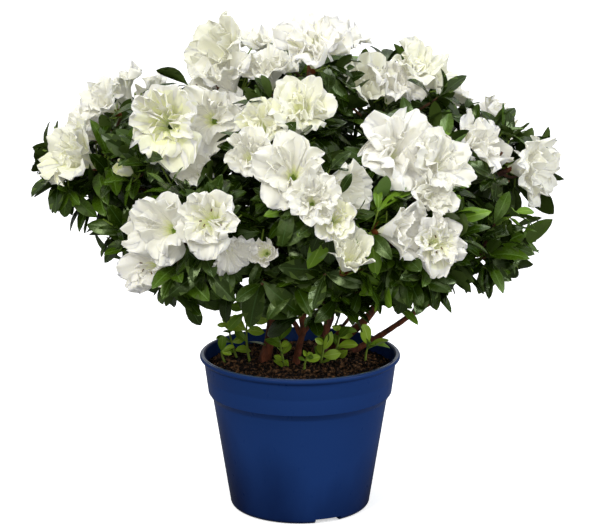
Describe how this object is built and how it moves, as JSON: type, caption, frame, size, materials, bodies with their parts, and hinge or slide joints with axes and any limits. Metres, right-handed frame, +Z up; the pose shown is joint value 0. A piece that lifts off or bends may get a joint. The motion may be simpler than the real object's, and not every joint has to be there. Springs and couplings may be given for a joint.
{
  "type": "white azalea shrub in a pot",
  "caption": "Flowering azalea shrub: forking woody stems from a root ball, a broad dome of dark leaves and ruffled white double blooms, in a round plastic pot.",
  "frame": {"origin": "centre of the pot's flat underside", "axes": "+Z up along the pot's axis; -Y is the side the plant faces, where most of its blooms lean; +X is to the right of that face"},
  "size_m": [0.3659, 0.3047, 0.3487],
  "materials": {
    "pot_plastic": "satin",
    "potting_mix": "matte",
    "bark": "matte",
    "leaves_and_blooms": "matte",
    "leaves": "satin",
    "young_leaves": "satin"
  },
  "bodies": {
    "root": {"back_stem": "bark", "basal_shoot_front": "young_leaves", "basal_shoot_left": "young_leaves", "basal_shoot_middle": "young_leaves", "basal_shoot_right": "young_leaves", "bough_back": "bark", "bough_back_left": "bark", "bough_back_right": "bark", "bough_back_skirt_left": "bark", "bough_back_skirt_right": "bark", "bough_back_top": "bark", "bough_far_left": "bark", "bough_far_right": "bark", "bough_front": "bark", "bough_front_skirt": "bark", "bough_left_shoulder": "bark", "bough_left_skirt": "bark", "bough_low_left": "bark", "bough_low_right": "bark", "bough_right_shoulder": "bark", "bough_right_skirt": "bark", "bough_top": "bark", "bough_top_left": "bark", "bough_top_right": "bark", "bough_upper_front": "bark", "foliage_back": "leaves_and_blooms", "foliage_back_left": "leaves_and_blooms", "foliage_back_right": "leaves_and_blooms", "foliage_back_skirt_left": "leaves_and_blooms", "foliage_back_skirt_right": "leaves_and_blooms", "foliage_back_top": "leaves_and_blooms", "foliage_far_left": "leaves_and_blooms", "foliage_far_right": "leaves_and_blooms", "foliage_front": "leaves_and_blooms", "foliage_front_skirt": "leaves", "foliage_left_shoulder": "leaves_and_blooms", "foliage_left_skirt": "leaves", "foliage_low_left": "leaves_and_blooms", "foliage_low_right": "leaves_and_blooms", "foliage_right_shoulder": "leaves_and_blooms", "foliage_right_skirt": "leaves", "foliage_top": "leaves_and_blooms", "foliage_top_left": "leaves_and_blooms", "foliage_top_right": "leaves_and_blooms", "foliage_upper_front": "leaves_and_blooms", "front_stem": "bark", "low_right_stem": "bark", "main_stem": "bark", "pot": "pot_plastic", "right_stem": "bark", "root_ball": "potting_mix"}
  },
  "joints": []
}
